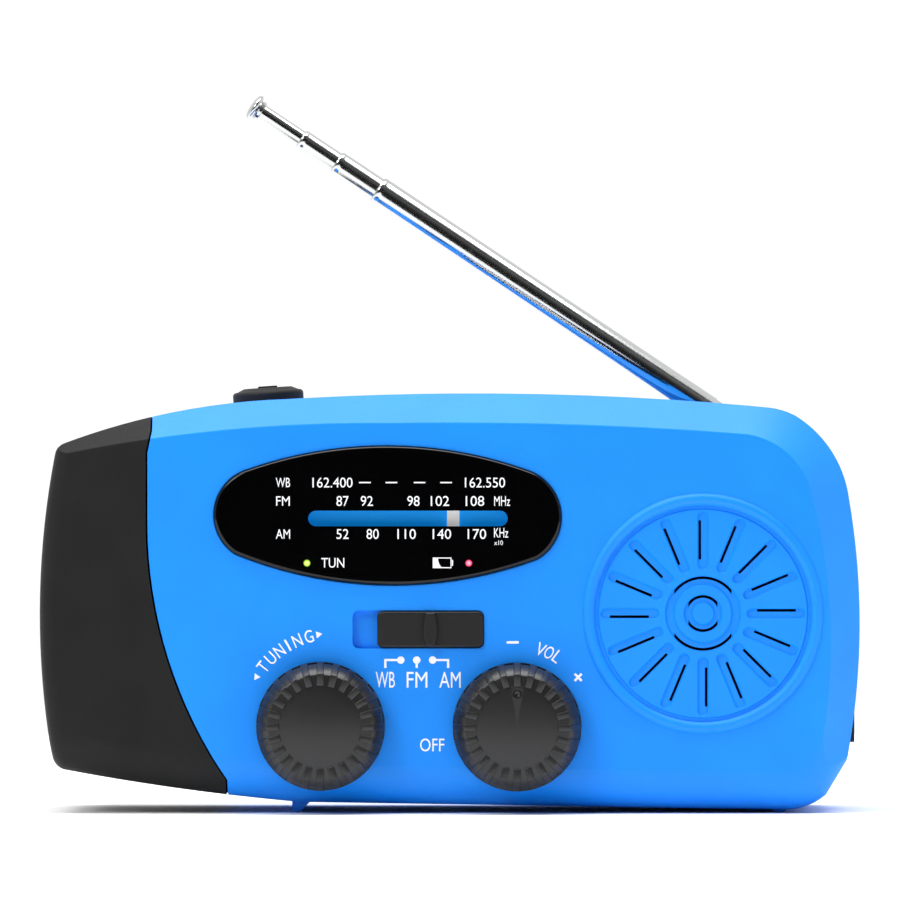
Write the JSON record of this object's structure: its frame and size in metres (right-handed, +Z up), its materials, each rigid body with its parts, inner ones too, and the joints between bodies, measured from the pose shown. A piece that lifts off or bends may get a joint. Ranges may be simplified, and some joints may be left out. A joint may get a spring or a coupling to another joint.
{
  "type": "emergency radio",
  "caption": "Hand-crank and solar emergency radio with tuning dial, round speaker grille, lamp in one end, folding crank on the back and a telescopic aerial.",
  "frame": {"origin": "on the table under the middle of the radio, at the bottom of its feet", "axes": "+Z up, the front panel faces -Y, +X runs to the speaker end"},
  "size_m": [0.127, 0.045, 0.1124],
  "materials": {
    "case": "moulded, finely textured",
    "cap": "moulded, finely textured",
    "clear": "clear moulding",
    "dial": "polished black",
    "dial_blue": "printed strip",
    "pointer": "moulded",
    "led_green": "clear epoxy",
    "led_red": "clear epoxy",
    "led_white": "clear epoxy",
    "knob": "moulded",
    "rubber": "moulded",
    "chrome": "plated",
    "steel": "plain",
    "gear": "acetal",
    "board": "solder mask",
    "chip": "epoxy",
    "control": "moulded",
    "ferrite": "sintered",
    "copper": "enamelled wire",
    "battery": "shrink sleeve",
    "cone": "pressed paper",
    "reflector": "vacuum metallised",
    "solar": "silicon cells"
  },
  "bodies": {
    "housing": {"front_shell": "case", "rear_shell": "case", "lamp_housing": "cap", "lamp_lens": "clear", "lamp_reflector": "reflector", "lamp_board": "board", "lamp_leds": "led_white", "lamp_switch": "chip", "dial_window": "dial", "dial_backing": "dial_blue", "charge_indicator": "led_red", "tuning_indicator": "led_green", "tuning_capacitor": "control", "volume_control": "control", "band_switch": "chip", "switch_board": "board", "speaker_frame": "steel", "speaker_magnet": "steel", "speaker_cone": "cone", "main_board": "board", "board_chips": "chip", "ferrite_rod": "ferrite", "rod_coil": "copper", "battery_cell": "battery", "usb_a_port": "steel", "micro_usb_port": "steel", "solar_cell": "solar", "solar_cover": "clear", "case_screws": "steel", "board_screws": "steel", "lay_axle": "steel", "gearbox_plate": "steel", "generator_housing": "steel"},
    "tuning": {"tuning_knob": "knob", "tuning_shaft": "steel", "tuning_gear": "gear"},
    "dial_pointer": {"dial_carriage": "pointer"},
    "volume": {"volume_knob": "knob", "volume_shaft": "steel"},
    "band_selector": {"band_slider": "knob"},
    "lamp_key": {"lamp_button": "rubber"},
    "crank": {"crank_arm": "knob", "crank_screw": "steel", "crank_shaft": "steel", "drive_gear": "gear"},
    "crank_fold": {"crank_hinge": "steel"},
    "crank_grip": {"crank_handle": "knob"},
    "lay_shaft": {"lay_gear": "gear"},
    "generator": {"generator_rotor": "steel"},
    "aerial_base": {"aerial_swivel": "chrome"},
    "aerial_1": {"aerial_fork": "chrome", "aerial_pin": "chrome", "aerial_section_1": "chrome"},
    "aerial_2": {"aerial_section_2": "chrome"},
    "aerial_3": {"aerial_section_3": "chrome"},
    "aerial_4": {"aerial_section_4": "chrome", "aerial_tip": "chrome"},
    "port_flap": {"port_cover": "rubber"}
  },
  "joints": [
    {"name": "tuning_turn", "type": "hinge", "parent": "housing", "child": "tuning", "pos_m": [-0.02, -0.0165, 0.0135], "axis": [0, 1, 0], "range_deg": [-121.6, 24]},
    {"name": "pointer_slide", "type": "slide", "parent": "housing", "child": "dial_pointer", "axis": [1, 0, 0], "range_m": [-0.0172, 0.0034]},
    {"name": "volume_turn", "type": "hinge", "parent": "housing", "child": "volume", "pos_m": [0.01035, -0.0165, 0.0134], "axis": [0, 1, 0], "range_deg": [-112, 168]},
    {"name": "band_slide", "type": "slide", "parent": "housing", "child": "band_selector", "axis": [1, 0, 0], "range_m": [-0.0037, 0]},
    {"name": "lamp_press", "type": "slide", "parent": "housing", "child": "lamp_key", "axis": [0.0663, 0, -0.9978], "range_m": [0, 0.001], "stiffness_N_per_m": 500, "springref_m": -0.001},
    {"name": "crank_turn", "type": "hinge", "parent": "housing", "child": "crank", "pos_m": [-0.0095, 0.0225, 0.0315], "axis": [0, 1, 0], "continuous": true},
    {"name": "crank_unfold", "type": "hinge", "parent": "crank", "child": "crank_fold", "pos_m": [-0.0095, 0.0189, 0.0515], "axis": [1, 0, 0], "range_deg": [0, 90]},
    {"name": "grip_spin", "type": "hinge", "parent": "crank_fold", "child": "crank_grip", "pos_m": [-0.0095, 0.0189, 0.042], "axis": [0, 0, 1], "continuous": true},
    {"name": "lay_turn", "type": "hinge", "parent": "housing", "child": "lay_shaft", "pos_m": [0.00798, 0.006, 0.02514], "axis": [0, 1, 0], "continuous": true},
    {"name": "generator_turn", "type": "hinge", "parent": "housing", "child": "generator", "pos_m": [0.0232, 0.006, 0.0196], "axis": [0, 1, 0], "continuous": true},
    {"name": "aerial_turn", "type": "hinge", "parent": "housing", "child": "aerial_base", "pos_m": [0.0431, 0.0193, 0.061], "axis": [0, 0, -1], "range_deg": [0, 180]},
    {"name": "aerial_fold", "type": "hinge", "parent": "aerial_base", "child": "aerial_1", "pos_m": [0.0431, 0.0193, 0.061], "axis": [0, 1, 0], "range_deg": [-33.7, 56.3]},
    {"name": "aerial_slide_2", "type": "slide", "parent": "aerial_1", "child": "aerial_2", "axis": [-0.832, 0, 0.5548], "range_m": [-0.007, 0.042]},
    {"name": "aerial_slide_3", "type": "slide", "parent": "aerial_2", "child": "aerial_3", "axis": [-0.832, 0, 0.5548], "range_m": [-0.0062, 0.042]},
    {"name": "aerial_slide_4", "type": "slide", "parent": "aerial_3", "child": "aerial_4", "axis": [-0.832, 0, 0.5548], "range_m": [-0.0065, 0.042]},
    {"name": "port_open", "type": "hinge", "parent": "housing", "child": "port_flap", "pos_m": [0.0633, 0.0103, 0.024], "axis": [0, 0, 1], "range_deg": [0, 110]}
  ],
  "couplings": [
    {"joint": "pointer_slide", "follows": "tuning_turn", "m_per_rad": 0.0081},
    {"joint": "lay_turn", "follows": "crank_turn", "ratio": -4.1667},
    {"joint": "generator_turn", "follows": "crank_turn", "ratio": 14.583}
  ]
}
